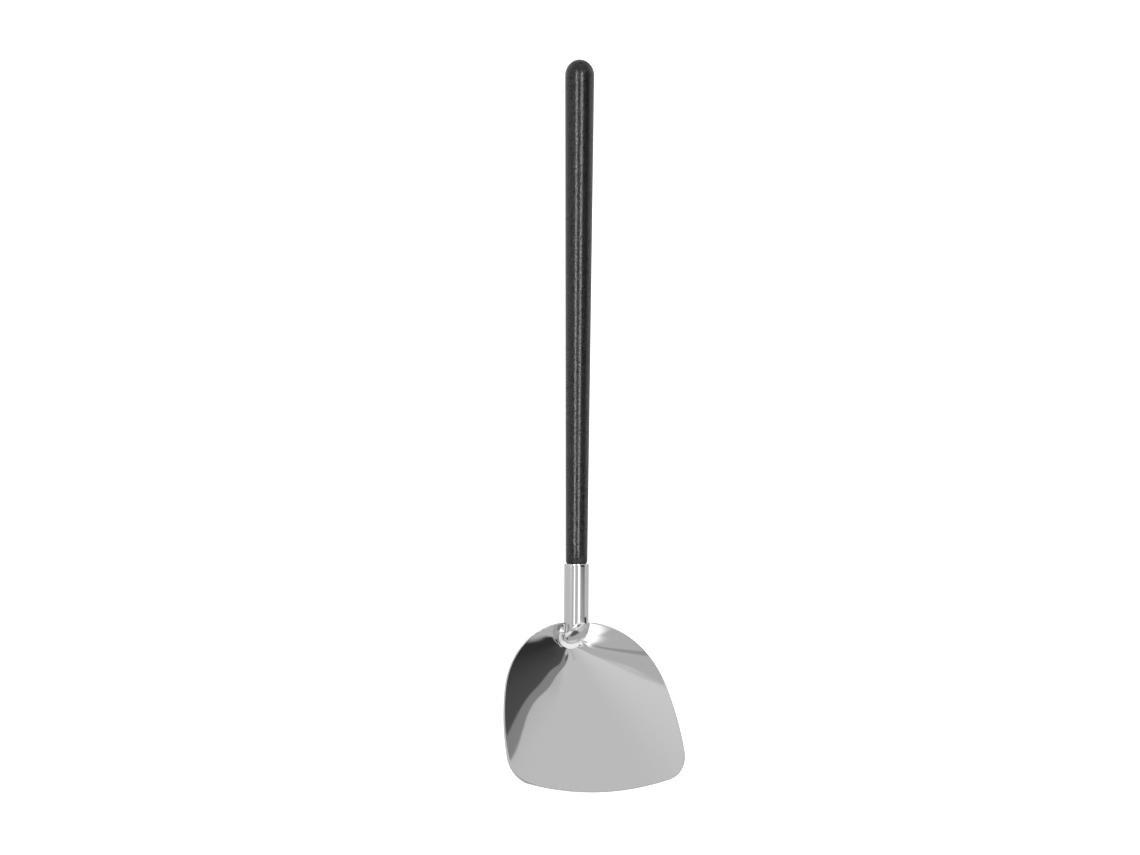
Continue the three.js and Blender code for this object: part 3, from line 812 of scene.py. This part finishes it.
def sky_brightness(sky):
    """The ceiling and the dark room up to a slanting edge, a grey band along that edge on the right, the
    pale tent past it towards the handle's end, and over them the bright side strip and a dark patch ahead
    of the nose."""
    roof = ceiling(sky)
    lower = sky.mix(sky.ramp(sky.around, between=(50, 56)), roof, dark_room(sky))
    slant = sky.slope(sky.around, between=(0, 56), levels=(0.0, 4.0))
    edge = sky.combine("SUBTRACT", sky.along, slant)
    grey_band = sky.mix(sky.ramp(sky.around, between=(28, 36)), roof, GREY_BAND_LIGHT)
    lower = sky.mix(sky.ramp(edge, between=(17.7, 18.1)), lower, grey_band)
    tent = sky.ramp(sky.around, between=(0, 32), levels=TENT_LIGHT)
    tent = sky.mix(sky.ramp(sky.around, between=(50, 60)), tent, TENT_RIGHT_LIGHT)
    light = sky.mix(sky.ramp(edge, between=(20.51, 20.71)), lower, tent)
    light = sky.mix(side_strip(sky), light, SIDE_STRIP_LIGHT)
    nose_patch = sky.patch(along=(-57, -39), along_soft=1.5, around=(10, 33), around_soft=2.0)
    return sky.mix(nose_patch, light, NOSE_PATCH_LIGHT)


def make_sky():
    """The sky lights the turner and shows in its reflections. The camera sees an even white in its place."""
    world = bpy.data.worlds.new("studio")
    bpy.context.scene.world = world
    world.use_nodes = True
    tree = world.node_tree
    background = tree.nodes["Background"]
    background.inputs["Color"].default_value = WHITE
    tree.links.new(sky_brightness(Sky(tree)), background.inputs["Strength"])
    backdrop = add(tree, "ShaderNodeBackground", Color=WHITE, Strength=BACKDROP_BRIGHTNESS)
    choose = add(tree, "ShaderNodeMixShader")
    tree.links.new(add(tree, "ShaderNodeLightPath").outputs["Is Camera Ray"], choose.inputs[0])
    tree.links.new(background.outputs[0], choose.inputs[1])
    tree.links.new(backdrop.outputs[0], choose.inputs[2])
    tree.links.new(choose.outputs[0], tree.nodes["World Output"].inputs["Surface"])


# The studio

make_table()
make_sky()
reflected_card("neck_card", (0.02, -0.09, 0.0145), TO_THE_LEFT, width=0.029, length=0.032, brightness=0.68)
reflected_card("grip_card", (0.05, 0.081, 0.025), TO_THE_LEFT, width=0.05, length=0.31, brightness=1.0)
reflected_card("low_card", (-0.035, 0.081, 0.0004), UPWARDS, width=0.055, length=0.31, brightness=0.95)
strip_lamp("neck_lamp_left", (-0.0155, -0.0935, 0.0233), width=0.0033, length=0.034, brightness=1.2)
strip_lamp("neck_lamp_right", (-0.0027, -0.0935, 0.0293), width=0.005, length=0.034, brightness=1.2)
strip_lamp("grip_lamp_left", (-0.0205, 0.0635, 0.0253), width=0.006, length=0.276, brightness=4.4)
strip_lamp("grip_lamp_right", (-0.0065, 0.0635, 0.0342), width=0.0066, length=0.276, brightness=3.9)
reflected_card(
    "mirror_table", (0, 0, -MIRROR_TABLE_DROP), UPWARDS, width=TABLE_SIDE, length=TABLE_SIDE, brightness=0.72
)

fill_data = bpy.data.lights.new("fill", "SUN")
fill_data.angle = FILL_ANGLE
fill_data.energy = FILL_STRENGTH
fill = bpy.data.objects.new("fill", fill_data)
fill.visible_glossy = False
bpy.context.scene.collection.objects.link(fill)

bpy.context.scene.view_settings.view_transform = "Standard"
